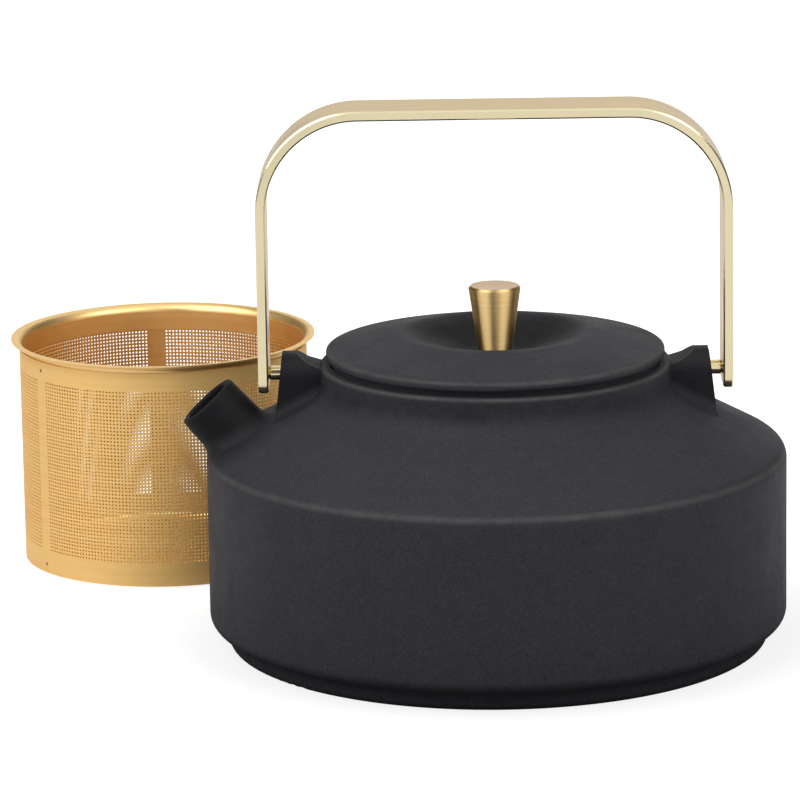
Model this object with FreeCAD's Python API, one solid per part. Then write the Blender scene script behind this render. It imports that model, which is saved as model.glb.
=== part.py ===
import FreeCAD, Part
import math
import os

from FreeCAD import Vector

# Cast-iron teapot with a brass strap bail, a dished lid and a separate tea infuser.
# Millimetres. The origin is the centre of the foot on the table, +Z is up,
# the spout points towards -X and the bail swings about an axis along X.

# Pot casting
body_diameter = 170.5
foot_inset = 5.5
foot_height = 6.0
foot_edge_radius = 2.0
wall_lower_radius = 3.6
shoulder_edge_height = 57.3
shoulder_edge_radius = 4.5
shoulder_rise = 18.1
neck_height = 8.1
neck_blend_radius = 9.0
rim_wall = 3.0
rim_edge_radius = 1.0
wall_thickness = 3.5
floor_thickness = 5.5
inner_corner_radius = 11.0
mouth_diameter = 92.0
mouth_edge_radius = 1.2
rabbet_width = 2.5
rabbet_depth = 1.5

# Where the one casting is divided into plain solids that meet on flat faces
base_height = 18.0
wall_top_height = 50.0
spout_tip_length = 10.0

# Ears that carry the bail, with reaches measured from the neck
ear_width = 14.0
ear_rise = 6.2
ear_arch_radius = 6.0
ear_top_thickness = 4.1
ear_top_reach = 10.9
ear_root_reach = 13.1
ear_step_reach = 3.3
ear_step_rise = 0.7
ear_edge_radius = 0.8
ear_crest_radius = 1.5
ear_hollow_radius = 6.0
ear_root_radius = 3.0
ear_flare = 4.0
ear_sink = 0.5
ear_embed = 12.0

# Spout, with its mouth placed from the edge of the shoulder
spout_mouth_inset = 0.25
spout_mouth_rise = 15.3
spout_mouth_diameter = 18.6
spout_wall = 2.0
spout_angle = 48.5
spout_taper = 2.2
spout_lip_radius = 0.8
spout_blend_radius = 5.0

# Bail and its pivots
pivot_drop = 2.9
strap_width = 20.8
strap_thickness = 2.9
bail_ear_gap = 3.16
bail_rise = 76.0
bail_corner_radius = 27.0
strap_end_drop = 4.4
strap_end_radius = 3.0
strap_edge_bevel = 0.45
pin_diameter = 4.2
pin_tenon_diameter = 3.0
pin_shoulder_bevel = 0.5
pin_depth_in_ear = 5.0
pin_end_gap = 0.5
pin_running_clearance = 0.05
tenon_clearance = 0.03

# Lid, with rises measured from the rim
lid_edge_inset = 1.9
lid_rim_gap = 1.5
lid_band_height = 2.6
lid_edge_radius = 1.0
lid_crest_diameter = 54.0
lid_crest_rise = 9.1
lid_crest_radius = 8.0
lid_dish_rise = 2.8
lid_dish_floor_diameter = 16.0
lid_dish_radius = 14.0
lid_thickness = 3.0
lid_seat_clearance = 0.6
lid_seat_width = 2.0
lid_spigot_clearance = 1.8
lid_spigot_wall = 2.6
lid_spigot_depth = 6.0

# Knob, its screw and its washer
knob_top_diameter = 15.5
knob_bottom_diameter = 9.7
knob_height = 19.6
knob_top_bevel = 0.7
screw_diameter = 4.0
screw_grip = 8.2
screw_end_gap = 1.8
screw_head_diameter = 7.4
screw_head_height = 2.4
screw_head_radius = 1.2
screw_recess_width = 1.2
screw_recess_depth = 1.1
screw_hole_clearance = 0.2
screw_fit_clearance = 0.03
washer_diameter = 10.0
washer_thickness = 0.8

# Infuser, which stands beside the pot and hangs by its lip inside the mouth
infuser_bearing = 135.56
infuser_gap = 11.5
infuser_table_gap = 0.3
infuser_floor_clearance = 6.55
infuser_lip_clearance = 1.0
infuser_mouth_clearance = 1.0
infuser_sheet = 0.45
infuser_lip_radius = 2.0
infuser_collar_height = 8.0
infuser_base_skirt = 6.0
infuser_base_radius = 2.0
infuser_base_lift = 0.5
infuser_fit_clearance = 0.03
infuser_wall_gap = 0.2

# How far a cutting solid runs past the face it opens, when two sizes or places count as equal,
# and how many points of an edge are tried when a seam is looked for
cut_overrun = 1.0
same_size = 0.01
same_place = 0.0001
probes_per_edge = 5

# Sizes and places that several pieces share
body_radius = body_diameter / 2
foot_radius = body_radius - foot_inset
mouth_radius = mouth_diameter / 2
rabbet_radius = mouth_radius + rabbet_width
neck_radius = rabbet_radius + rim_wall
shoulder_slope = shoulder_rise / (body_radius - neck_radius)
rim_height = shoulder_edge_height + shoulder_rise + neck_height
rabbet_floor = rim_height - rabbet_depth
pivot_height = rim_height - pivot_drop
spout_mouth_radius = spout_mouth_diameter / 2
spout_run = (spout_mouth_rise + spout_mouth_radius + cut_overrun) / math.sin(math.radians(spout_angle))
ear_top_height = pivot_height + ear_rise
ear_outer_top = neck_radius + ear_top_reach
ear_outer_root = neck_radius + ear_root_reach
lid_dish_height = rim_height + lid_dish_rise
lid_underside_floor = lid_dish_height - lid_thickness
screw_hole_radius = screw_diameter / 2 + screw_hole_clearance
infuser_lip_under = rabbet_floor - floor_thickness - infuser_floor_clearance
infuser_height = infuser_lip_under + infuser_sheet
infuser_lip_outer = rabbet_radius - infuser_lip_clearance
infuser_wall_outer = mouth_radius - infuser_mouth_clearance
infuser_wall_inner = infuser_wall_outer - infuser_sheet
infuser_inner_skin = infuser_wall_inner - infuser_fit_clearance
infuser_collar_inner = infuser_inner_skin - infuser_sheet


def corner_arc(before, corner, after, radius):
    """Start, middle and end of the arc that rounds one corner."""
    to_before = (before - corner).normalize()
    to_after = (after - corner).normalize()
    half_angle = to_before.getAngle(to_after) / 2
    reach = radius / math.tan(half_angle)
    bisector = (to_before + to_after).normalize()
    centre = corner + bisector * (radius / math.sin(half_angle))
    return corner + to_before * reach, centre - bisector * radius, corner + to_after * reach


def rounded_face(corners):
    """Flat face in the XZ plane from (x, z, corner radius) corners."""
    points = [Vector(x, 0, z) for x, z, radius in corners]
    edges = []
    ends = []
    for index, (x, z, radius) in enumerate(corners):
        before = points[index - 1]
        after = points[(index + 1) % len(points)]
        if radius > 0:
            start, middle, end = corner_arc(before, points[index], after, radius)
            edges.append(Part.Arc(start, middle, end).toShape())
        else:
            start = points[index]
            end = points[index]
        ends.append((start, end))
    for index, (start, end) in enumerate(ends):
        next_start = ends[(index + 1) % len(ends)][0]
        if end.distanceToPoint(next_start) > same_place:
            edges.append(Part.LineSegment(end, next_start).toShape())
    return Part.Face(Part.Wire(Part.__sortEdges__(edges)))


def turned(corners):
    """Solid of revolution about Z."""
    return rounded_face(corners).revolve(Vector(0, 0, 0), Vector(0, 0, 1), 360)


def bar(corners, width):
    """Profile in XZ extruded along Y, centred on Y = 0."""
    face = rounded_face(corners)
    face.translate(Vector(0, -width / 2, 0))
    return face.extrude(Vector(0, width, 0))


def mirrored_x(shape):
    return shape.mirror(Vector(0, 0, 0), Vector(1, 0, 0))


def along_spout(shape):
    """Places a shape that was turned about Z on the spout's axis, mouth at the top."""
    mouth = Vector(spout_mouth_inset - body_radius, 0, shoulder_edge_height + spout_mouth_rise)
    shape.rotate(Vector(0, 0, 0), Vector(0, 1, 0), spout_angle - 90)
    shape.translate(mouth)
    return shape


def along_pivot(shape):
    """Turns a shape from the Z axis to the +X axis, at the pivot's height."""
    shape.rotate(Vector(0, 0, 0), Vector(0, 1, 0), 90)
    shape.translate(Vector(0, 0, pivot_height))
    return shape


def shoulder_height(radius):
    """Height of the shoulder's outside at a distance from the axis."""
    return shoulder_edge_height + shoulder_slope * (body_radius - radius)


def pot_outside():
    return turned([
        (0, 0, 0),
        (foot_radius, 0, foot_edge_radius),
        (foot_radius, foot_height, 0),
        (body_radius, foot_height, wall_lower_radius),
        (body_radius, shoulder_edge_height, shoulder_edge_radius),
        (neck_radius, shoulder_height(neck_radius), neck_blend_radius),
        (neck_radius, rim_height, rim_edge_radius),
        (0, rim_height, 0),
    ])


def pot_hollow():
    """Inside of the pot: one wall thickness within the shoulder, with a rabbeted mouth."""
    shoulder_drop = wall_thickness * math.hypot(1, shoulder_slope)
    inner_radius = body_radius - wall_thickness
    inner_edge = shoulder_height(inner_radius) - shoulder_drop
    inner_neck = shoulder_height(mouth_radius) - shoulder_drop
    over_rim = rim_height + cut_overrun
    return turned([
        (0, floor_thickness, 0),
        (inner_radius, floor_thickness, inner_corner_radius),
        (inner_radius, inner_edge, shoulder_edge_radius),
        (mouth_radius, inner_neck, wall_thickness),
        (mouth_radius, rabbet_floor, mouth_edge_radius),
        (rabbet_radius, rabbet_floor, 0),
        (rabbet_radius, over_rim, 0),
        (0, over_rim, 0),
    ])


def ear_face_reach(height):
    """Distance from the axis to the ear's outer face at a height."""
    root = shoulder_height(ear_outer_root)
    share = (ear_top_height - height) / (ear_top_height - root)
    return ear_outer_top + share * (ear_outer_root - ear_outer_top)


def ear_side():
    """Ear seen from the front, as a thick slab: it runs into the shoulder and the rim."""
    root = shoulder_height(ear_outer_root)
    inner = neck_radius - wall_thickness / 2
    foot = ear_outer_root + ear_flare
    return bar([
        (inner, root - ear_embed, 0),
        (foot, root - ear_embed, 0),
        (foot, shoulder_height(foot) - ear_sink, 0),
        (ear_outer_root, root - ear_sink, ear_root_radius),
        (ear_outer_top, ear_top_height, ear_edge_radius),
        (ear_outer_top - ear_top_thickness, ear_top_height, ear_crest_radius),
        (neck_radius + ear_step_reach, rim_height + ear_step_rise, ear_hollow_radius),
        (inner, rim_height - rim_edge_radius, 0),
    ], ear_width + 2 * (ear_flare + cut_overrun))


def ear_arch():
    """Ear seen along the pivot: an arch on straight sides."""
    half = ear_width / 2
    root = shoulder_height(ear_outer_root) - ear_embed
    outline = rounded_face([
        (-half, root, 0),
        (half, root, 0),
        (half, ear_top_height, ear_arch_radius),
        (-half, ear_top_height, ear_arch_radius),
    ])
    outline.rotate(Vector(0, 0, 0), Vector(0, 0, 1), 90)
    return outline.extrude(Vector(body_radius, 0, 0))


def ear_skirt():
    """Hollow flare along both sides of the ear, following the shoulder's slope."""
    half = ear_width / 2
    foot = half + ear_flare
    outline = rounded_face([
        (-foot, -ear_embed, 0),
        (foot, -ear_embed, 0),
        (foot, 0, 0),
        (half, 0, ear_flare),
        (half, ear_flare, 0),
        (-half, ear_flare, 0),
        (-half, 0, ear_flare),
        (-foot, 0, 0),
    ])
    outline.rotate(Vector(0, 0, 0), Vector(0, 0, 1), 90)
    outline.translate(Vector(body_radius, 0, shoulder_edge_height - ear_sink))
    run = body_radius - neck_radius
    return outline.extrude(Vector(-run, 0, run * shoulder_slope))


def ear():
    """Right-hand ear."""
    return ear_side().common(ear_arch().fuse(ear_skirt()))


def pin_hole():
    """Blind hole for the right-hand pivot pin."""
    radius = pin_diameter / 2 + pin_running_clearance
    depth = pin_depth_in_ear + pin_end_gap
    start = Vector(ear_face_reach(pivot_height) - depth, 0, pivot_height)
    return Part.makeCylinder(radius, depth + ear_flare, start, Vector(1, 0, 0))


def spout_radius(depth):
    """Outer radius of the spout at a depth below its mouth."""
    return spout_mouth_radius + depth * math.tan(math.radians(spout_taper))


def spout_outside():
    """Tapered spout, long enough to end inside the pot's hollow."""
    return along_spout(turned([
        (0, -spout_run, 0),
        (spout_radius(spout_run), -spout_run, 0),
        (spout_mouth_radius, 0, spout_lip_radius),
        (0, 0, 0),
    ]))


def spout_bore():
    bore = spout_mouth_radius - spout_wall
    past_lip = bore + spout_lip_radius + cut_overrun
    return along_spout(turned([
        (0, -spout_run, 0),
        (bore, -spout_run, 0),
        (bore, 0, spout_lip_radius),
        (past_lip, 0, 0),
        (past_lip, cut_overrun, 0),
        (0, cut_overrun, 0),
    ]))


def seam_edges(joined, first, second):
    """Edges of a joined solid that lie on the skins of both solids it came from."""
    skins = (first.Shells[0], second.Shells[0])
    found = []
    for edge in joined.Edges:
        probes = [Part.Vertex(point) for point in edge.discretize(probes_per_edge)[1:-1]]
        gaps = [probe.distToShape(skin)[0] for probe in probes for skin in skins]
        if max(gaps) < same_place:
            found.append(edge)
    return found


def make_casting():
    """The whole pot: turned body, blended spout, ears, hollow, bore and pin holes."""
    outside = pot_outside()
    spout = spout_outside()
    pot = outside.fuse(spout)
    pot = pot.makeFillet(spout_blend_radius, seam_edges(pot, outside, spout))
    pot = pot.fuse([ear(), mirrored_x(ear())])
    pot = pot.cut([pot_hollow(), spout_bore(), pin_hole(), mirrored_x(pin_hole())])
    return pot.removeSplitter()


def divide_casting(casting):
    """Base and wall up to level faces, spout tip beyond a face across its axis, and the shoulder."""
    base_zone = Part.makeCylinder(body_diameter, base_height)
    bowl_zone = Part.makeCylinder(body_diameter, wall_top_height)
    tip_radius = spout_radius(spout_tip_length) + cut_overrun
    tip_zone = Part.makeCylinder(tip_radius, spout_tip_length + cut_overrun, Vector(0, 0, -spout_tip_length))
    tip_zone = along_spout(tip_zone)
    bowl = casting.common(bowl_zone)
    upper = casting.cut(bowl_zone)
    return bowl.common(base_zone), bowl.cut(base_zone), upper.cut(tip_zone), upper.common(tip_zone)


def bail_inside():
    """Half of the clear width between the bail's arms."""
    return ear_face_reach(pivot_height) + bail_ear_gap


def is_across_strap(edge):
    """True for the short straight edges that cross the strap's thickness."""
    return abs(edge.Length - strap_thickness) < same_size


def make_handle_bail():
    inside = bail_inside()
    outside = inside + strap_thickness
    under = pivot_height + bail_rise
    top = under + strap_thickness
    end = pivot_height - strap_end_drop
    outer_bend = bail_corner_radius + strap_thickness
    strap = bar([
        (-outside, end, 0),
        (-outside, top, outer_bend),
        (outside, top, outer_bend),
        (outside, end, 0),
        (inside, end, 0),
        (inside, under, bail_corner_radius),
        (-inside, under, bail_corner_radius),
        (-inside, end, 0),
    ], strap_width)
    end_corners = [edge for edge in strap.Edges if is_across_strap(edge)]
    strap = strap.makeFillet(strap_end_radius, end_corners)
    strap = strap.makeChamfer(strap_edge_bevel, [edge for edge in strap.Edges if not is_across_strap(edge)])
    hole = pin_tenon_diameter / 2 + tenon_clearance
    start = Vector(-outside - cut_overrun, 0, pivot_height)
    return strap.cut(Part.makeCylinder(hole, 2 * (outside + cut_overrun), start, Vector(1, 0, 0)))


def make_pivot_pin():
    """Right-hand pin: a tip in the ear, a bevelled shoulder and a tenon through the strap's arm."""
    radius = pin_diameter / 2
    tenon = pin_tenon_diameter / 2
    tip = ear_face_reach(pivot_height) - pin_depth_in_ear
    shoulder = bail_inside()
    return along_pivot(turned([
        (0, tip, 0),
        (radius - pin_shoulder_bevel, tip, 0),
        (radius, tip + pin_shoulder_bevel, 0),
        (radius, shoulder - pin_shoulder_bevel, 0),
        (radius - pin_shoulder_bevel, shoulder, 0),
        (tenon, shoulder, 0),
        (tenon, shoulder + strap_thickness, 0),
        (0, shoulder + strap_thickness, 0),
    ]))


def make_lid():
    """Dished lid: a flat edge band, a cone up to the crest, a dish, a seat ring and a spigot."""
    radius = neck_radius - lid_edge_inset
    crest = lid_crest_diameter / 2
    crest_height = rim_height + lid_crest_rise
    dish_floor = lid_dish_floor_diameter / 2
    edge_bottom = rim_height + lid_rim_gap
    edge_top = edge_bottom + lid_band_height
    cone_slope = (crest_height - edge_top) / (radius - crest)
    spigot = infuser_collar_inner - lid_spigot_clearance
    spigot_inner = spigot - lid_spigot_wall
    spigot_end = rim_height - lid_spigot_depth
    under_cone = crest_height - lid_thickness - cone_slope * (spigot_inner - crest)
    seat_outer = rabbet_radius - lid_seat_clearance
    seat_inner = seat_outer - lid_seat_width
    return turned([
        (screw_hole_radius, lid_underside_floor, 0),
        (dish_floor, lid_underside_floor, lid_dish_radius + lid_thickness),
        (crest, crest_height - lid_thickness, lid_crest_radius - lid_thickness),
        (spigot_inner, under_cone, 0),
        (spigot_inner, spigot_end, 0),
        (spigot, spigot_end, lid_edge_radius),
        (spigot, rim_height, 0),
        (seat_inner, rim_height, 0),
        (seat_inner, rabbet_floor, 0),
        (seat_outer, rabbet_floor, 0),
        (seat_outer, edge_bottom, 0),
        (radius, edge_bottom, lid_edge_radius),
        (radius, edge_top, lid_edge_radius),
        (crest, crest_height, lid_crest_radius),
        (dish_floor, lid_dish_height, lid_dish_radius),
        (screw_hole_radius, lid_dish_height, 0),
    ])


def make_lid_knob():
    hole = screw_diameter / 2 + screw_fit_clearance
    hole_end = lid_dish_height + screw_grip + screw_end_gap
    bottom = knob_bottom_diameter / 2
    top = knob_top_diameter / 2
    top_height = lid_dish_height + knob_height
    taper = (top - bottom) / knob_height
    return turned([
        (hole, lid_dish_height, 0),
        (bottom, lid_dish_height, 0),
        (top - taper * knob_top_bevel, top_height - knob_top_bevel, 0),
        (top - knob_top_bevel, top_height, 0),
        (0, top_height, 0),
        (0, hole_end, 0),
        (hole, hole_end, 0),
    ])


def make_knob_washer():
    return turned([
        (screw_hole_radius, lid_underside_floor - washer_thickness, 0),
        (washer_diameter / 2, lid_underside_floor - washer_thickness, 0),
        (washer_diameter / 2, lid_underside_floor, 0),
        (screw_hole_radius, lid_underside_floor, 0),
    ])


def make_knob_screw():
    seat = lid_underside_floor - washer_thickness
    end = lid_dish_height + screw_grip
    head = screw_head_diameter / 2
    shank = screw_diameter / 2
    screw = turned([
        (0, seat - screw_head_height, 0),
        (head, seat - screw_head_height, screw_head_radius),
        (head, seat, 0),
        (shank, seat, 0),
        (shank, end, 0),
        (0, end, 0),
    ])
    slot = Part.makeBox(screw_head_diameter, screw_recess_width, screw_recess_depth)
    slot.translate(Vector(-head, -screw_recess_width / 2, seat - screw_head_height))
    return screw.cut(slot)


def at_infuser(shape):
    """Moves a shape from the pot's axis to the infuser's place on the table."""
    distance = body_radius + infuser_gap + infuser_lip_outer
    bearing = math.radians(infuser_bearing)
    shape.translate(Vector(distance * math.cos(bearing), distance * math.sin(bearing), infuser_table_gap))
    return shape


def make_infuser_rim():
    """Collar inside the sheet, turned out at the top into a flared lip."""
    low = infuser_height - infuser_collar_height
    return at_infuser(turned([
        (infuser_collar_inner, low, 0),
        (infuser_inner_skin, low, 0),
        (infuser_inner_skin, infuser_lip_under, infuser_lip_radius),
        (infuser_lip_outer, infuser_lip_under, 0),
        (infuser_lip_outer, infuser_height, 0),
        (infuser_collar_inner, infuser_height, infuser_lip_radius + infuser_sheet),
    ]))


def make_infuser_wall():
    top = infuser_lip_under - infuser_lip_radius - infuser_wall_gap
    return at_infuser(turned([
        (infuser_wall_inner, infuser_base_lift, 0),
        (infuser_wall_outer, infuser_base_lift, 0),
        (infuser_wall_outer, top, 0),
        (infuser_wall_inner, top, 0),
    ]))


def make_infuser_base():
    """Shallow cup whose skirt stands inside the sheet."""
    inside = infuser_inner_skin - infuser_sheet
    return at_infuser(turned([
        (0, 0, 0),
        (infuser_inner_skin, 0, infuser_base_radius),
        (infuser_inner_skin, infuser_base_skirt, 0),
        (inside, infuser_base_skirt, 0),
        (inside, infuser_sheet, infuser_base_radius - infuser_sheet),
        (0, infuser_sheet, 0),
    ]))


pot_base, pot_wall, pot_shoulder, pot_spout = divide_casting(make_casting())

pieces = {
    "pot_base": pot_base,
    "pot_wall": pot_wall,
    "pot_shoulder": pot_shoulder,
    "pot_spout": pot_spout,
    "handle_bail": make_handle_bail(),
    "pivot_pin_right": make_pivot_pin(),
    "pivot_pin_left": mirrored_x(make_pivot_pin()),
    "lid": make_lid(),
    "lid_knob": make_lid_knob(),
    "knob_screw": make_knob_screw(),
    "knob_washer": make_knob_washer(),
    "infuser_rim": make_infuser_rim(),
    "infuser_wall": make_infuser_wall(),
    "infuser_base": make_infuser_base(),
}

os.makedirs("parts", exist_ok=True)
for node, shape in pieces.items():
    shape.exportStep(os.path.join("parts", node + ".step"))
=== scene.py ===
import math
from collections import namedtuple

import bpy
import numpy as np
from mathutils import Matrix, Vector


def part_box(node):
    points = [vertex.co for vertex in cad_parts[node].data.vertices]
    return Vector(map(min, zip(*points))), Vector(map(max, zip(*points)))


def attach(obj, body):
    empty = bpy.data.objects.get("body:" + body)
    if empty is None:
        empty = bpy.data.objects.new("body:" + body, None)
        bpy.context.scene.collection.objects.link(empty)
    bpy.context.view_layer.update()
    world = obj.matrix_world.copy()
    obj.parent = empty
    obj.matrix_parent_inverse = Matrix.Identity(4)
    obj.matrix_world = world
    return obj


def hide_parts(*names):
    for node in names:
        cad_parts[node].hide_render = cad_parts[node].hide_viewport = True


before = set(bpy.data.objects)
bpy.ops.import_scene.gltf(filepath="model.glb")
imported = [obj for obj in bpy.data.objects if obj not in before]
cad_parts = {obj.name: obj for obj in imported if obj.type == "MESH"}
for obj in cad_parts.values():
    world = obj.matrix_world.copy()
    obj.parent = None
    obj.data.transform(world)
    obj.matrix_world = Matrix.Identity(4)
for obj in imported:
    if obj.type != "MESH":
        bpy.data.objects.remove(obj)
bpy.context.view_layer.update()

# Metres throughout, in the frame of the solids: the pot's foot is at the origin,
# the spout points to -X and the camera looks along +Y.

# Camera of the photograph, with its angles in degrees
picture_width = 800
focal_pixels = 5000
sensor_width = 36.0
camera_distance = 1.468
camera_elevation = 13.11
camera_azimuth = 0.5
camera_roll = -0.9
aim_across = -0.0281
aim_height = 0.0719

# Perforated sheet of the infuser: holes in a square grid, in three panels with plain strips between
hole_pitch = 0.0011
hole_width = 0.0006
hole_sides = 8
panel_low = 0.008
panel_high = 0.0624
panel_count = 3
strip_bearing = math.radians(-54.25)
strip_width = 0.0049
sheet_thickness = 0.00045

# Spot welds at the ends of each strip, as domes with rings at shares of their radius
weld_radius = 0.0006
weld_height = 0.00012
weld_inset = 0.0028
weld_sides = 16
weld_rings = (1.0, 0.75, 0.4)

# Edges of the iron, measured from the lid's edge and underside and from the upright wall's top
rim_beyond_lid = 0.0016
rim_above_spigot = 0.0058
neck_beyond_lid = 0.0022
neck_above_spigot = 0.0010
lid_edge_inset = 0.0002
lid_edge_above_spigot = 0.0099
shoulder_edge_inset = 0.00035
shoulder_edge_above_wall = 0.0068
dish_below_crest = 0.006

# Enamel: its fine speckle, the pale tint of edges rubbed by wear with a painted highlight along them, and
# the tint of painted shade
iron_dark = (0.0185, 0.0183, 0.0218)
iron_light = (0.0445, 0.0440, 0.0515)
wear_and_highlight_iron = (0.10, 0.098, 0.095)
painted_shade_iron = (0.0065, 0.0065, 0.0080)

# Faces: the angle of a sharp corner, and how far a normal turns to count as level or inward
sharp_corner = math.radians(35)
level_share = 0.95
inward_share = 0.5

# Stage: lamps and cards are aimed at the pot's middle; a painted shadow darkens the floor close to the
# pot's axis
stage_aim = Vector((0.0, 0.0, 0.07))
softbox_radiance = 2.9
ambient = 0.12
flag_glow = 0.10
floor_side = 12.0
painted_shadow_start = 0.085
painted_shadow_end = 0.14
near_floor_reach = 0.3
far_floor_reach = 1.2
white = (1.0, 1.0, 1.0, 1.0)

EnamelRing = namedtuple("EnamelRing", "tint radius height width")
PaintedShadePatch = namedtuple("PaintedShadePatch", "centre inner outer")


def new_material(name):
    """Material with a Principled shader, as (material, node tree, shader)."""
    material = bpy.data.materials.new(name)
    material.use_nodes = True
    tree = material.node_tree
    return material, tree, tree.nodes["Principled BSDF"]


def new_group(name, inputs, outputs):
    """Shader node group with float or vector sockets, as (tree, input node, output node)."""
    tree = bpy.data.node_groups.new(name, "ShaderNodeTree")
    for socket, kind, value in inputs:
        made = tree.interface.new_socket(socket, in_out="INPUT", socket_type=kind)
        made.default_value = value
    for socket, kind in outputs:
        tree.interface.new_socket(socket, in_out="OUTPUT", socket_type=kind)
    return tree, tree.nodes.new("NodeGroupInput"), tree.nodes.new("NodeGroupOutput")


def add_node(tree, kind, settings=None, **values):
    """Node of a kind, with its settings and the values of its input sockets."""
    node = tree.nodes.new(kind)
    for key, value in (settings or {}).items():
        setattr(node, key, value)
    for key, value in values.items():
        node.inputs[key.replace("_", " ")].default_value = value
    return node


def add_math(tree, operation, first, second, clamp=False):
    """Math node on two sockets or numbers; returns its output."""
    node = tree.nodes.new("ShaderNodeMath")
    node.operation = operation
    node.use_clamp = clamp
    for socket, value in zip(node.inputs, (first, second)):
        if isinstance(value, (int, float)):
            socket.default_value = value
        else:
            tree.links.new(value, socket)
    return node.outputs[0]


def add_noise(tree, vector, scale, detail, roughness=0.5):
    """Noise value of about 0 to 1 at a vector socket; scale is a number or a socket."""
    node = add_node(tree, "ShaderNodeTexNoise", Detail=detail, Roughness=roughness)
    tree.links.new(vector, node.inputs["Vector"])
    if isinstance(scale, (int, float)):
        node.inputs["Scale"].default_value = scale
    else:
        tree.links.new(scale, node.inputs["Scale"])
    return node.outputs["Fac"]


def add_place(tree):
    """Place on the surface in the object's own metres, as a vector socket."""
    return tree.nodes.new("ShaderNodeTexCoord").outputs["Object"]


def build_sand_grain():
    """Group: sand-cast skin, with a fine Height and a slow Mottle."""
    lump_share = 0.22
    mottle_share = 0.045
    tree, entry, leave = new_group(
        "sand grain",
        [("Grains per metre", "NodeSocketFloat", 900.0), ("Coarseness", "NodeSocketFloat", 0.4)],
        [("Height", "NodeSocketFloat"), ("Mottle", "NodeSocketFloat")],
    )
    place = add_place(tree)
    grains = entry.outputs["Grains per metre"]
    fine = add_noise(tree, place, grains, detail=3.0, roughness=0.6)
    coarse = add_noise(tree, place, add_math(tree, "MULTIPLY", grains, lump_share), detail=2.0)
    lumps = add_math(tree, "MULTIPLY", coarse, entry.outputs["Coarseness"])
    tree.links.new(add_math(tree, "ADD", fine, lumps), leave.inputs["Height"])
    slow_scale = add_math(tree, "MULTIPLY", grains, mottle_share)
    mottle = add_noise(tree, place, slow_scale, detail=4.0, roughness=0.65)
    tree.links.new(mottle, leave.inputs["Mottle"])
    return tree


def build_brush_lines():
    """Group: brushed or turned lines; Stretch is how fast they change along each axis, per metre."""
    streak_share = 0.17
    tree, entry, leave = new_group(
        "brush lines",
        [("Stretch", "NodeSocketVector", (100.0, 100.0, 6000.0))],
        [("Height", "NodeSocketFloat"), ("Streak", "NodeSocketFloat")],
    )
    stretched = add_node(tree, "ShaderNodeVectorMath", {"operation": "MULTIPLY"})
    tree.links.new(add_place(tree), stretched.inputs[0])
    tree.links.new(entry.outputs["Stretch"], stretched.inputs[1])
    lines = add_noise(tree, stretched.outputs[0], 1.0, detail=3.0, roughness=0.7)
    tree.links.new(lines, leave.inputs["Height"])
    streaks = add_noise(tree, stretched.outputs[0], streak_share, detail=2.0)
    tree.links.new(streaks, leave.inputs["Streak"])
    return tree


def build_touch_marks():
    """Group: faint clouding from handling, as a slow value of 0 to 1."""
    tree, entry, leave = new_group(
        "touch marks",
        [("Size", "NodeSocketFloat", 0.02)],
        [("Cloud", "NodeSocketFloat")],
    )
    scale = add_math(tree, "DIVIDE", 1.0, entry.outputs["Size"])
    cloud = add_noise(tree, add_place(tree), scale, detail=3.0, roughness=0.6)
    tree.links.new(cloud, leave.inputs["Cloud"])
    return tree


def build_wear_and_light_ring():
    """Group: a ring about Z where the enamel has another tint, broken up along its length; pale for wear
    with a painted highlight, dark for painted shade.
    """
    breaks_per_metre = 160.0
    tree, entry, leave = new_group(
        "wear and light ring",
        [
            ("Radius", "NodeSocketFloat", 0.05),
            ("Height", "NodeSocketFloat", 0.08),
            ("Width", "NodeSocketFloat", 0.001),
        ],
        [("Mask", "NodeSocketFloat")],
    )
    place = add_place(tree)
    flat = add_node(tree, "ShaderNodeVectorMath", {"operation": "MULTIPLY"})
    flat.inputs[1].default_value = (1.0, 1.0, 0.0)
    tree.links.new(place, flat.inputs[0])
    reach = add_node(tree, "ShaderNodeVectorMath", {"operation": "LENGTH"})
    tree.links.new(flat.outputs[0], reach.inputs[0])
    level = tree.nodes.new("ShaderNodeSeparateXYZ")
    tree.links.new(place, level.inputs[0])
    out = add_math(tree, "SUBTRACT", reach.outputs["Value"], entry.outputs["Radius"])
    over = add_math(tree, "SUBTRACT", level.outputs["Z"], entry.outputs["Height"])
    out_squared = add_math(tree, "MULTIPLY", out, out)
    over_squared = add_math(tree, "MULTIPLY", over, over)
    off = add_math(tree, "SQRT", add_math(tree, "ADD", out_squared, over_squared), 0.0)
    share = add_math(tree, "DIVIDE", off, entry.outputs["Width"])
    ring = add_math(tree, "SUBTRACT", 1.0, share, clamp=True)
    broken = add_noise(tree, place, breaks_per_metre, detail=3.0, roughness=0.6)
    tree.links.new(add_math(tree, "MULTIPLY", ring, broken), leave.inputs["Mask"])
    return tree


def build_painted_shade_patch():
    """Group: a round patch of painted shade, where the enamel is drawn blacker, fading from Inner to Outer
    radius.
    """
    tree, entry, leave = new_group(
        "painted shade patch",
        [
            ("Centre", "NodeSocketVector", (0.0, 0.0, 0.0)),
            ("Inner", "NodeSocketFloat", 0.01),
            ("Outer", "NodeSocketFloat", 0.02),
        ],
        [("Mask", "NodeSocketFloat")],
    )
    away = add_node(tree, "ShaderNodeVectorMath", {"operation": "DISTANCE"})
    tree.links.new(add_place(tree), away.inputs[0])
    tree.links.new(entry.outputs["Centre"], away.inputs[1])
    left = add_math(tree, "SUBTRACT", entry.outputs["Outer"], away.outputs["Value"])
    fade = add_math(tree, "SUBTRACT", entry.outputs["Outer"], entry.outputs["Inner"])
    tree.links.new(add_math(tree, "DIVIDE", left, fade, clamp=True), leave.inputs["Mask"])
    return tree


sand_grain = build_sand_grain()
brush_lines = build_brush_lines()
touch_marks = build_touch_marks()
wear_and_light_ring = build_wear_and_light_ring()
painted_shade_patch = build_painted_shade_patch()


def place_group(tree, group, **values):
    """Node of a group in a material, with its inputs set."""
    return add_node(tree, "ShaderNodeGroup", {"node_tree": group}, **values)


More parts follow.
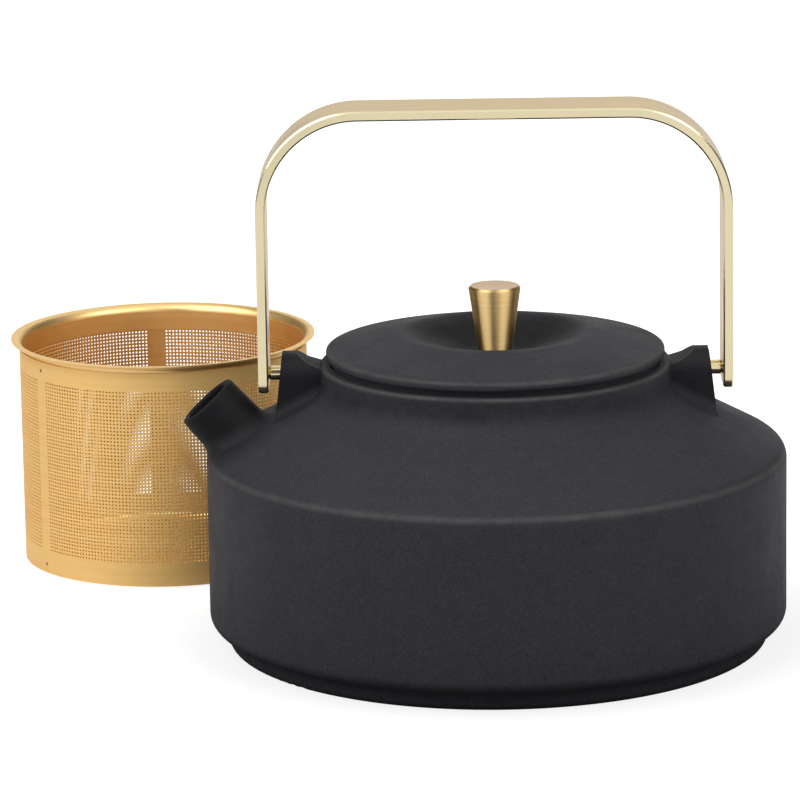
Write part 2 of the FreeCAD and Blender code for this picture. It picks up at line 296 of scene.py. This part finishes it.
def blend_colours(tree, share, dark, light):
    """Colour between two, by a socket of 0 to 1."""
    node = add_node(tree, "ShaderNodeMix", {"data_type": "RGBA"})
    node.inputs["A"].default_value = (*dark, 1.0)
    node.inputs["B"].default_value = (*light, 1.0)
    tree.links.new(share, node.inputs["Factor"])
    return node.outputs["Result"]


def tint_where(tree, colour, mask, tint):
    """Colour socket that goes over to a plain tint where a mask socket is 1."""
    node = add_node(tree, "ShaderNodeMix", {"data_type": "RGBA"})
    node.inputs["B"].default_value = (*tint, 1.0)
    tree.links.new(colour, node.inputs["A"])
    tree.links.new(mask, node.inputs["Factor"])
    return node.outputs["Result"]


def spread(tree, share, low, high, from_low=0.3, from_high=0.7):
    """Value from low to high as a socket goes over a range, by default the one where most noise lies."""
    node = add_node(
        tree, "ShaderNodeMapRange", From_Min=from_low, From_Max=from_high, To_Min=low, To_Max=high
    )
    tree.links.new(share, node.inputs["Value"])
    return node.outputs["Result"]


def add_bump(tree, shader, height, depth, strength):
    """Bump from a height socket into the shader's normal."""
    node = add_node(tree, "ShaderNodeBump", Strength=strength, Distance=depth)
    tree.links.new(height, node.inputs["Height"])
    tree.links.new(node.outputs["Normal"], shader.inputs["Normal"])


def make_black_iron(name, rings=(), patches=()):
    """Matt black enamel over a fine sand-cast skin, with its tinted rings of wear, painted highlight and
    painted shade, and its patches of painted shade.
    """
    material, tree, shader = new_material(name)
    grain = place_group(tree, sand_grain, Grains_per_metre=1700.0, Coarseness=0.25)
    speckle = spread(tree, grain.outputs["Height"], 0.0, 1.0, from_low=0.35, from_high=0.9)
    colour = blend_colours(tree, speckle, iron_dark, iron_light)
    # Pale rings are wear with a painted highlight along the edge; dark rings are painted shade
    for ring in rings:
        ring_mask = place_group(tree, wear_and_light_ring, Radius=ring.radius, Height=ring.height, Width=ring.width)
        colour = tint_where(tree, colour, ring_mask.outputs["Mask"], ring.tint)
    # Patches are painted shade, drawn as blacker enamel
    for patch in patches:
        shade_mask = place_group(tree, painted_shade_patch, Centre=patch.centre, Inner=patch.inner, Outer=patch.outer)
        colour = tint_where(tree, colour, shade_mask.outputs["Mask"], painted_shade_iron)
    tree.links.new(colour, shader.inputs["Base Color"])
    gloss = spread(tree, grain.outputs["Mottle"], low=0.56, high=0.70)
    tree.links.new(gloss, shader.inputs["Roughness"])
    shader.inputs["Specular IOR Level"].default_value = 0.16
    add_bump(tree, shader, grain.outputs["Height"], depth=0.0002, strength=0.5)
    return material


def make_metal(
    name, dark, light, stretch, rough, line_depth, cloud_size, edge_tint, grooved=0.0, metallic=1.0
):
    """Brushed metal: lines along one direction, streaks in the colour and clouding in the gloss.

    A grooved finish is turned about Z, so that its highlights run up and down.
    """
    material, tree, shader = new_material(name)
    shader.inputs["Metallic"].default_value = metallic
    shader.inputs["Specular Tint"].default_value = (*edge_tint, 1.0)
    lines = place_group(tree, brush_lines, Stretch=stretch)
    marks = place_group(tree, touch_marks, Size=cloud_size)
    colour = blend_colours(tree, spread(tree, lines.outputs["Streak"], 0.0, 1.0), dark, light)
    tree.links.new(colour, shader.inputs["Base Color"])
    smoothest, roughest = rough
    gloss = spread(tree, marks.outputs["Cloud"], smoothest, roughest)
    tree.links.new(gloss, shader.inputs["Roughness"])
    if grooved:
        shader.inputs["Anisotropic"].default_value = grooved
        shader.inputs["Anisotropic Rotation"].default_value = 0.25
        around = add_node(tree, "ShaderNodeTangent", {"direction_type": "RADIAL", "axis": "Z"})
        tree.links.new(around.outputs["Tangent"], shader.inputs["Tangent"])
    add_bump(tree, shader, lines.outputs["Height"], line_depth, strength=0.6)
    return material


# Black iron: pale at its edges, with wear and a painted highlight along them, and painted shade at the
# spout, the ears, the dish and the foot of the neck
spout_low, spout_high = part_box("pot_spout")
lid_low, lid_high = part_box("lid")
pin_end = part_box("pivot_pin_right")[0]
wall_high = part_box("pot_wall")[1]
# Pale rings at the rim, the shoulder's rounded edge and the lid's edge: wear with a painted highlight along
# them
pale_rim = EnamelRing(
    wear_and_highlight_iron, radius=lid_high.x + rim_beyond_lid, height=lid_low.z + rim_above_spigot, width=0.0012
)
pale_shoulder_edge = EnamelRing(
    wear_and_highlight_iron,
    radius=wall_high.x - shoulder_edge_inset,
    height=wall_high.z + shoulder_edge_above_wall,
    width=0.0014,
)
# Painted shade at the foot of the neck, under the lid's overhang
neck_shade = EnamelRing(
    painted_shade_iron, radius=lid_high.x + neck_beyond_lid, height=lid_low.z + neck_above_spigot, width=0.0055
)
pale_lid_edge = EnamelRing(
    wear_and_highlight_iron, radius=lid_high.x - lid_edge_inset, height=lid_low.z + lid_edge_above_spigot, width=0.0012
)
# Painted shade on the spout, on the ears' front faces and on the far wall of the lid's dish
spout_shade = PaintedShadePatch((spout_low + spout_high) / 2, inner=0.010, outer=0.030)
ear_shades = [
    PaintedShadePatch(Vector((side * pin_end.x, 0.0, pin_end.z)), inner=0.004, outer=0.017) for side in (-1, 1)
]
dish_shade = PaintedShadePatch(Vector((0.0, 0.0, lid_high.z - dish_below_crest)), inner=0.0215, outer=0.0285)
black_iron = make_black_iron("black iron")
shoulder_iron = make_black_iron(
    "black iron, shoulder",
    rings=[pale_rim, pale_shoulder_edge, neck_shade],
    patches=[spout_shade, *ear_shades],
)
spout_iron = make_black_iron("black iron, spout", patches=[spout_shade])
lid_iron = make_black_iron("black iron, lid", rings=[pale_lid_edge], patches=[dish_shade])

# Brass of the bail, its pins and the knob, and steel of the screw and its washer
strap_brass = make_metal(
    "strap brass",
    dark=(0.76, 0.67, 0.43),
    light=(0.84, 0.75, 0.50),
    stretch=(30.0, 5000.0, 30.0),
    rough=(0.16, 0.26),
    line_depth=0.00002,
    cloud_size=0.03,
    edge_tint=(0.72, 0.62, 0.52),
)
pin_brass = make_metal(
    "pin brass",
    dark=(0.74, 0.62, 0.36),
    light=(0.82, 0.70, 0.42),
    stretch=(3000.0, 60.0, 60.0),
    rough=(0.10, 0.16),
    line_depth=0.00001,
    cloud_size=0.004,
    edge_tint=(0.8, 0.7, 0.55),
)
knob_brass = make_metal(
    "knob brass",
    dark=(0.82, 0.575, 0.25),
    light=(0.92, 0.675, 0.32),
    stretch=(60.0, 60.0, 7000.0),
    rough=(0.46, 0.54),
    line_depth=0.00003,
    cloud_size=0.008,
    edge_tint=(0.75, 0.66, 0.6),
    grooved=1.0,
)
knob_top_brass = make_metal(
    "knob top brass",
    dark=(0.70, 0.55, 0.39),
    light=(0.78, 0.63, 0.46),
    stretch=(900.0, 900.0, 900.0),
    rough=(0.36, 0.44),
    line_depth=0.00001,
    cloud_size=0.008,
    edge_tint=(0.75, 0.66, 0.6),
)
plain_steel = make_metal(
    "plain steel",
    dark=(0.50, 0.50, 0.49),
    light=(0.62, 0.61, 0.60),
    stretch=(900.0, 900.0, 900.0),
    rough=(0.25, 0.4),
    line_depth=0.00001,
    cloud_size=0.004,
    edge_tint=(0.9, 0.9, 0.9),
)

# Gold-coloured sheet of the infuser, which has the same rolled lines all over, and its welds
rolled_lines = {
    "stretch": (90.0, 90.0, 2500.0),
    "line_depth": 0.00001,
    "cloud_size": 0.012,
    "edge_tint": (0.9, 0.85, 0.75),
}
gold_sheet = make_metal(
    "gold sheet",
    dark=(0.91, 0.57, 0.20),
    light=(0.96, 0.63, 0.235),
    rough=(0.50, 0.60),
    metallic=0.5,
    **rolled_lines,
)
gold_rim = make_metal(
    "gold rim",
    dark=(0.86, 0.57, 0.23),
    light=(0.93, 0.65, 0.285),
    rough=(0.34, 0.42),
    metallic=0.9,
    **rolled_lines,
)
gold_inside = make_metal(
    "gold inside",
    dark=(0.80, 0.55, 0.245),
    light=(0.88, 0.63, 0.30),
    rough=(0.32, 0.40),
    **rolled_lines,
)
weld_bronze = make_metal(
    "weld bronze",
    dark=(0.30, 0.17, 0.06),
    light=(0.42, 0.26, 0.10),
    stretch=(2000.0, 2000.0, 2000.0),
    rough=(0.4, 0.6),
    line_depth=0.00001,
    cloud_size=0.002,
    edge_tint=(0.9, 0.85, 0.75),
)


def finish_node(node, material, top_material=None):
    """Gives a solid's object its material, and its level top faces another one."""
    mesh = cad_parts[node].data
    mesh.materials.clear()
    mesh.materials.append(material)
    if top_material:
        mesh.materials.append(top_material)
        for face in mesh.polygons:
            face.material_index = int(face.normal.z > level_share)


finish_node("pot_base", black_iron)
finish_node("pot_wall", black_iron)
finish_node("pot_shoulder", shoulder_iron)
finish_node("pot_spout", spout_iron)
finish_node("lid", lid_iron)
finish_node("handle_bail", strap_brass)
finish_node("pivot_pin_left", pin_brass)
finish_node("pivot_pin_right", pin_brass)
finish_node("lid_knob", knob_brass, knob_top_brass)
finish_node("knob_screw", plain_steel)
finish_node("knob_washer", plain_steel)
finish_node("infuser_rim", gold_rim)
finish_node("infuser_base", gold_inside)


def mesh_object(name, vertices, faces, material):
    """Object from vertex and face lists, smooth apart from its sharp corners."""
    mesh = bpy.data.meshes.new(name)
    mesh.from_pydata(vertices, [], faces)
    mesh.polygons.foreach_set("use_smooth", [True] * len(mesh.polygons))
    mesh.set_sharp_from_angle(angle=sharp_corner)
    mesh.materials.append(material)
    made = bpy.data.objects.new(name, mesh)
    bpy.context.scene.collection.objects.link(made)
    return made


# Grid of the perforated sheet: a column of cells for each hole round it, and a row for each hole up it,
# with a plain row at its foot and its head
sheet_low, sheet_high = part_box("infuser_wall")
sheet_centre = (sheet_low + sheet_high) / 2
sheet_outer = (sheet_high.x - sheet_low.x) / 2
sheet_inner = sheet_outer - sheet_thickness
columns = round(math.tau * sheet_outer / hole_pitch)
column_angle = math.tau / columns
hole_rows = round((panel_high - panel_low) / hole_pitch)
levels = [sheet_low.z, *np.linspace(panel_low, panel_high, hole_rows + 1), sheet_high.z]
top_level = len(levels) - 1


def strip_bearings():
    """Bearings of the plain strips, from the front (-Y) towards +X."""
    step = math.tau / panel_count
    return [strip_bearing + step * index for index in range(panel_count)]


def in_strip(column):
    """True where a column of the sheet lies in a plain strip."""
    bearing = strip_bearing + (column + 0.5) * column_angle
    half = strip_width / 2 / sheet_outer
    turns = [abs(math.remainder(bearing - middle, math.tau)) for middle in strip_bearings()]
    return min(turns) < half


def sheet_point(radius, column, level):
    """Point of the sheet; a column need not be a whole number."""
    bearing = strip_bearing + column * column_angle
    return (sheet_centre.x + radius * math.sin(bearing), sheet_centre.y - radius * math.cos(bearing), level)


def add_grid(vertices, radius):
    """Adds the corners of all cells on one side of the sheet; returns the first one's index."""
    first = len(vertices)
    vertices.extend(sheet_point(radius, column, level) for level in levels for column in range(columns))
    return first


def grid_corner(first, column, row):
    """Index of a cell's low left corner."""
    return first + row * columns + column % columns


def grid_cell(first, column, row):
    """Indices of a cell's corners, anticlockwise from low left."""
    return [
        grid_corner(first, column, row),
        grid_corner(first, column + 1, row),
        grid_corner(first, column + 1, row + 1),
        grid_corner(first, column, row + 1),
    ]


def add_hole_rim(vertices, radius, column, row):
    """Adds the rim of a cell's hole on one side of the sheet; returns its indices."""
    first = len(vertices)
    middle = (levels[row] + levels[row + 1]) / 2
    reach = hole_width / 2 / math.cos(math.pi / hole_sides)
    for side in range(hole_sides):
        turn = math.tau * (side + 0.5) / hole_sides - math.pi
        across = reach * math.cos(turn) / (column_angle * sheet_outer)
        vertices.append(sheet_point(radius, column + 0.5 + across, middle + reach * math.sin(turn)))
    return list(range(first, first + hole_sides))


def frame_hole(corners, rim):
    """Faces between a cell's four corners and the rim of its hole."""
    per_corner = hole_sides // 4
    made = []
    for index in range(4):
        start = index * per_corner
        arc = [rim[(start + step) % hole_sides] for step in range(per_corner + 1)]
        made.extend((corners[index], b, a) for a, b in zip(arc, arc[1:per_corner]))
        made.append((corners[index], corners[(index + 1) % 4], arc[per_corner], arc[per_corner - 1]))
    return made


def perforated_sheet():
    """Rolled sheet with a hole in each cell of its panels, as (vertices, faces)."""
    vertices = []
    faces = []
    outside = add_grid(vertices, sheet_outer)
    inside = add_grid(vertices, sheet_inner)
    for column in range(columns):
        plain = in_strip(column)
        for row in range(top_level):
            front = grid_cell(outside, column, row)
            rear = grid_cell(inside, column, row)
            if plain or row in (0, top_level - 1):
                faces.append(tuple(front))
                faces.append(tuple(reversed(rear)))
                continue
            front_rim = add_hole_rim(vertices, sheet_outer, column, row)
            rear_rim = add_hole_rim(vertices, sheet_inner, column, row)
            faces.extend(frame_hole(front, front_rim))
            faces.extend(tuple(reversed(face)) for face in frame_hole(rear, rear_rim))
            for side in range(hole_sides):
                after = (side + 1) % hole_sides
                faces.append((front_rim[side], front_rim[after], rear_rim[after], rear_rim[side]))
        for row, order in ((0, 1), (top_level, -1)):
            edge = (
                grid_corner(outside, column, row),
                grid_corner(inside, column, row),
                grid_corner(inside, column + 1, row),
                grid_corner(outside, column + 1, row),
            )
            faces.append(edge[::order])
    return vertices, faces


def finish_inside(sheet, material):
    """Gives the faces that look at the infuser's axis a second material."""
    sheet.data.materials.append(material)
    for face in sheet.data.polygons:
        outward = face.center - sheet_centre
        outward.z = 0.0
        face.material_index = int(face.normal.dot(outward.normalized()) < -inward_share)


sheet = mesh_object("infuser_sheet", *perforated_sheet(), gold_sheet)
finish_inside(sheet, gold_inside)
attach(sheet, "infuser")
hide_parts("infuser_wall")


def weld_dome():
    """Low round dome on the XY plane, as (vertices, faces)."""
    vertices = []
    faces = []
    for share in weld_rings:
        radius = weld_radius * share
        height = weld_height * (1 - share * share)
        for side in range(weld_sides):
            turn = math.tau * side / weld_sides
            vertices.append((radius * math.cos(turn), radius * math.sin(turn), height))
    for ring in range(len(weld_rings) - 1):
        low = ring * weld_sides
        high = low + weld_sides
        for side in range(weld_sides):
            after = (side + 1) % weld_sides
            faces.append((low + side, low + after, high + after, high + side))
    top = (len(weld_rings) - 1) * weld_sides
    faces.append(tuple(range(top, top + weld_sides)))
    faces.append(tuple(reversed(range(weld_sides))))
    return vertices, faces


def add_welds():
    """Spot welds on the sheet at both ends of each strip."""
    for strip, bearing in enumerate(strip_bearings()):
        outward = Vector((math.sin(bearing), -math.cos(bearing), 0.0))
        turn = outward.to_track_quat("Z", "Y").to_matrix().to_4x4()
        for end, level in (("low", sheet_low.z + weld_inset), ("high", sheet_high.z - weld_inset)):
            weld = mesh_object(f"infuser_weld_{strip}_{end}", *weld_dome(), weld_bronze)
            spot = Vector((sheet_centre.x, sheet_centre.y, level)) + outward * sheet_outer
            weld.data.transform(Matrix.Translation(spot) @ turn)
            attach(weld, "infuser")


add_welds()


def white_rays(tree):
    """1 for rays that should see a white background: camera, mirror and see-through rays."""
    path = tree.nodes.new("ShaderNodeLightPath")
    seen = add_math(tree, "MAXIMUM", path.outputs["Is Camera Ray"], path.outputs["Is Glossy Ray"])
    return add_math(tree, "MAXIMUM", seen, path.outputs["Is Transmission Ray"])


def mix_shaders(tree, share, first, second):
    """Shader that goes over from the first to the second as a socket goes from 0 to 1."""
    node = tree.nodes.new("ShaderNodeMixShader")
    tree.links.new(share, node.inputs["Fac"])
    tree.links.new(first, node.inputs[1])
    tree.links.new(second, node.inputs[2])
    return node.outputs[0]


def add_white_glow(tree, strength):
    """White emission whose strength is a socket."""
    node = add_node(tree, "ShaderNodeEmission", Color=white)
    tree.links.new(strength, node.inputs["Strength"])
    return node.outputs[0]


def build_world():
    """White to the camera and in mirrors, and a soft grey for the light on the object."""
    world = bpy.data.worlds.new("studio")
    world.use_nodes = True
    tree = world.node_tree
    soft = tree.nodes["Background"]
    soft.inputs["Color"].default_value = (0.95, 0.97, 1.0, 1.0)
    soft.inputs["Strength"].default_value = ambient
    bright = add_node(tree, "ShaderNodeBackground", Color=white, Strength=1.0)
    studio = mix_shaders(tree, white_rays(tree), soft.outputs[0], bright.outputs[0])
    tree.links.new(studio, tree.nodes["World Output"].inputs["Surface"])
    bpy.context.scene.world = world


def plane(name, across, along, material):
    """Flat stage card centred on the origin, facing +Z."""
    half_x = across / 2
    half_y = along / 2
    corners = [(-half_x, -half_y, 0), (half_x, -half_y, 0), (half_x, half_y, 0), (-half_x, half_y, 0)]
    card = mesh_object(name, corners, [(0, 1, 2, 3)], material)
    return card


def build_floor():
    """Pale floor: white to the camera with a soft shadow on it, and a painted shadow close to the pot's
    foot, darker in its colour and in what mirrors see.
    """
    material = bpy.data.materials.new("pale floor")
    material.use_nodes = True
    tree = material.node_tree
    tree.nodes.remove(tree.nodes["Principled BSDF"])
    reach = add_node(tree, "ShaderNodeVectorMath", {"operation": "LENGTH"})
    tree.links.new(add_place(tree), reach.inputs[0])
    distance = reach.outputs["Value"]
    outside_painted_shadow = spread(tree, distance, 0.05, 1.0, from_low=painted_shadow_start, from_high=painted_shadow_end)
    far_floor = spread(tree, distance, 0.84, 1.0, from_low=near_floor_reach, from_high=far_floor_reach)
    plain = tree.nodes.new("ShaderNodeBsdfDiffuse")
    # Painted shadow: the floor's colour is darker close to the pot's foot
    floor_colour = blend_colours(tree, outside_painted_shadow, dark=(0.12, 0.12, 0.12), light=(0.7, 0.7, 0.7))
    tree.links.new(floor_colour, plain.inputs["Color"])
    seen = tree.nodes.new("ShaderNodeAddShader")
    tree.links.new(plain.outputs[0], seen.inputs[0])
    tree.links.new(add_white_glow(tree, far_floor), seen.inputs[1])
    # Painted shadow in reflections: mirrors see the floor's glow dimmed close to the foot
    mirrored = add_white_glow(tree, outside_painted_shadow)
    in_mirror = mix_shaders(tree, white_rays(tree), plain.outputs[0], mirrored)
    path = tree.nodes.new("ShaderNodeLightPath")
    in_view = mix_shaders(tree, path.outputs["Is Camera Ray"], in_mirror, seen.outputs[0])
    tree.links.new(in_view, tree.nodes["Material Output"].inputs["Surface"])
    plane("floor", floor_side, floor_side, material)


def direction(azimuth, elevation):
    """Unit vector out from the object, by degrees; azimuth 0 is the camera's side and grows to +X."""
    turn = math.radians(azimuth)
    rise = math.radians(elevation)
    return Vector((math.sin(turn) * math.cos(rise), -math.cos(turn) * math.cos(rise), math.sin(rise)))


def stand(thing, azimuth, elevation, distance):
    """Stands a lamp or card at a distance from the stage's aim, turned to it."""
    thing.location = stage_aim + distance * direction(azimuth, elevation)
    thing.rotation_euler = (thing.location - stage_aim).to_track_quat("Z", "Y").to_euler()


def add_softbox(name, azimuth, elevation, distance, size):
    """Square softbox aimed at the pot."""
    lamp = bpy.data.lights.new(name, "AREA")
    lamp.shape = "SQUARE"
    lamp.size = size
    lamp.energy = softbox_radiance * math.pi * size * size
    box = bpy.data.objects.new(name, lamp)
    stand(box, azimuth, elevation, distance)
    bpy.context.scene.collection.objects.link(box)


def make_flag_grey():
    """Even dark grey that takes no light from the softboxes."""
    material, _, shader = new_material("flag grey")
    shader.inputs["Base Color"].default_value = (0.0, 0.0, 0.0, 1.0)
    shader.inputs["Specular IOR Level"].default_value = 0.0
    shader.inputs["Emission Color"].default_value = (flag_glow, flag_glow, flag_glow, 1.0)
    shader.inputs["Emission Strength"].default_value = 1.0
    return material


flag_grey = make_flag_grey()


def add_flag(name, azimuth, elevation, distance, across, along):
    """Dark grey card that only mirrors see, so that metal has dark lines in it."""
    card = plane(name, across, along, flag_grey)
    stand(card, azimuth, elevation, distance)
    card.visible_camera = False
    card.visible_diffuse = False
    card.visible_shadow = False
    card.visible_transmission = False


build_world()
build_floor()
add_softbox("left softbox", azimuth=-62, elevation=46, distance=1.6, size=1.5)
add_softbox("right softbox", azimuth=54, elevation=42, distance=1.7, size=1.3)
add_flag("front flag", azimuth=-12, elevation=20, distance=2.2, across=0.9, along=3.0)
add_flag("left flag", azimuth=-124, elevation=18, distance=1.9, across=3.0, along=2.8)
add_flag("right flag", azimuth=114, elevation=18, distance=1.9, across=3.2, along=2.8)


def add_camera():
    """Camera at the photograph's viewing angle."""
    back = direction(camera_azimuth, camera_elevation)
    turn = math.radians(camera_azimuth)
    right = Vector((math.cos(turn), math.sin(turn), 0.0))
    up = back.cross(right)
    roll = math.radians(camera_roll)
    rolled_right = right * math.cos(roll) + up * math.sin(roll)
    rolled_up = up * math.cos(roll) - right * math.sin(roll)
    axes = Matrix((rolled_right, rolled_up, back)).transposed().to_4x4()
    aim = right * aim_across + Vector((0.0, 0.0, aim_height))
    lens = bpy.data.cameras.new("camera")
    lens.sensor_width = sensor_width
    lens.lens = sensor_width * focal_pixels / picture_width
    camera = bpy.data.objects.new("camera", lens)
    camera.matrix_world = Matrix.Translation(aim + back * camera_distance) @ axes
    bpy.context.scene.collection.objects.link(camera)
    bpy.context.scene.camera = camera


add_camera()
bpy.context.scene.view_settings.view_transform = "Standard"
